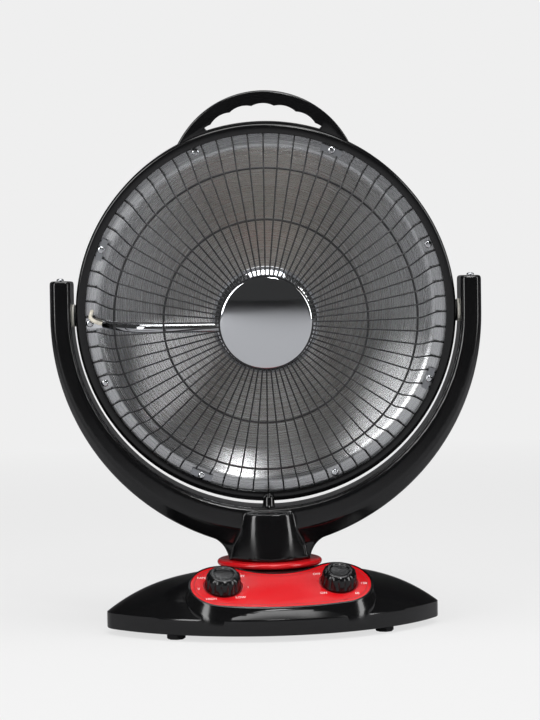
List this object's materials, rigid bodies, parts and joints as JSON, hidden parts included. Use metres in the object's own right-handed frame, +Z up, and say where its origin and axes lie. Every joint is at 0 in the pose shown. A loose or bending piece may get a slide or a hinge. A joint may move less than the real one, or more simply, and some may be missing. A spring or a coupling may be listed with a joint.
{
  "type": "parabolic heater",
  "caption": "Free-standing parabolic dish heater: wire-guarded aluminium reflector tilting in a yoke that swivels on a low base with a red control panel and fluted knobs.",
  "frame": {"origin": "on the floor, under the middle of the whole heater", "axes": "+Z up; the base's front and control panel face -Y; +X to the right seen from the front"},
  "size_m": [0.4272, 0.2156, 0.5302],
  "materials": {
    "gloss_black": "gloss black ABS",
    "satin_black": "satin black PP",
    "gloss_red": "gloss red ABS",
    "chrome": "polished chrome plate",
    "spun_aluminium": "spun, polished aluminium",
    "black_wire": "black coated steel wire",
    "steel": "zinc plated steel",
    "ceramic": "unglazed white ceramic",
    "heat_alloy": "resistance wire, oxidised",
    "cast_iron": "grey iron, as cast",
    "rubber": "black rubber",
    "nylon": "natural nylon",
    "glass_sleeve": "woven glass sleeve",
    "black_sleeve": "black PVC sheath"
  },
  "bodies": {
    "base": {"base_shell": "gloss_black", "base_plate": "satin_black", "collar_ring": "gloss_red", "spindle_bush": "nylon", "foot_1": "rubber", "foot_2": "rubber", "foot_3": "rubber", "foot_4": "rubber", "ballast_left": "cast_iron", "ballast_right": "cast_iron", "terminal_block": "nylon", "cord_gland": "satin_black", "swing_motor": "steel", "tip_switch": "nylon", "control_panel": "gloss_red", "heat_switch": "nylon", "timer_body": "nylon"},
    "yoke": {"yoke_front": "gloss_black", "yoke_rear": "gloss_black", "swivel_spindle": "steel", "swing_lever": "steel", "yoke_cable": "black_sleeve", "pivot_bush_left": "nylon", "arm_screw_left": "steel", "pivot_bush_right": "nylon", "arm_screw_right": "steel"},
    "head": {"head_rim": "gloss_black", "rear_cover": "satin_black", "reflector": "spun_aluminium", "wire_guard": "black_wire", "centre_disc": "chrome", "front_cup": "chrome", "element_core": "ceramic", "element_coil": "heat_alloy", "conduit_tube": "chrome", "element_lead": "glass_sleeve", "conduit_screw": "chrome", "rim_screw_1": "chrome", "rim_screw_2": "chrome", "guard_clip_1": "steel", "rim_screw_3": "chrome", "rim_screw_4": "chrome", "guard_clip_2": "steel", "rim_screw_5": "chrome", "rim_screw_6": "chrome", "guard_clip_3": "steel", "rim_screw_7": "chrome", "rim_screw_8": "chrome", "guard_clip_4": "steel", "pivot_pin_left": "steel", "pivot_nut_left": "steel", "pivot_pin_right": "steel", "pivot_nut_right": "steel"},
    "heat_knob": {"heat_knob": "gloss_black", "heat_shaft": "steel"},
    "timer_knob": {"timer_knob": "gloss_black", "timer_shaft": "steel"},
    "crank": {"motor_crank": "nylon"},
    "plunger": {"tip_plunger": "nylon"}
  },
  "joints": [
    {"name": "yoke_swivel", "type": "hinge", "parent": "base", "child": "yoke", "pos_m": [0, 0.01022, 0.066], "axis": [0, 0, 1], "range_deg": [-32, 48]},
    {"name": "head_tilt", "type": "hinge", "parent": "yoke", "child": "head", "pos_m": [0, 0.01022, 0.311], "axis": [0.9903, -0.1392, 0], "range_deg": [-2, 22]},
    {"name": "heat_knob_turn", "type": "hinge", "parent": "base", "child": "heat_knob", "pos_m": [-0.0565, -0.06678, 0.0502], "axis": [0, -0.4772, 0.8788], "range_deg": [-180, 0]},
    {"name": "timer_knob_turn", "type": "hinge", "parent": "base", "child": "timer_knob", "pos_m": [0.0565, -0.06678, 0.0502], "axis": [0, -0.4772, 0.8788], "range_deg": [-300, 0]},
    {"name": "crank_spin", "type": "hinge", "parent": "base", "child": "crank", "pos_m": [0, 0.04022, 0.03], "axis": [0, 0, 1], "continuous": true},
    {"name": "plunger_drop", "type": "slide", "parent": "base", "child": "plunger", "axis": [0, 0, -1], "range_m": [0, 0.004], "stiffness_N_per_m": 120, "springref_m": 0.006}
  ]
}
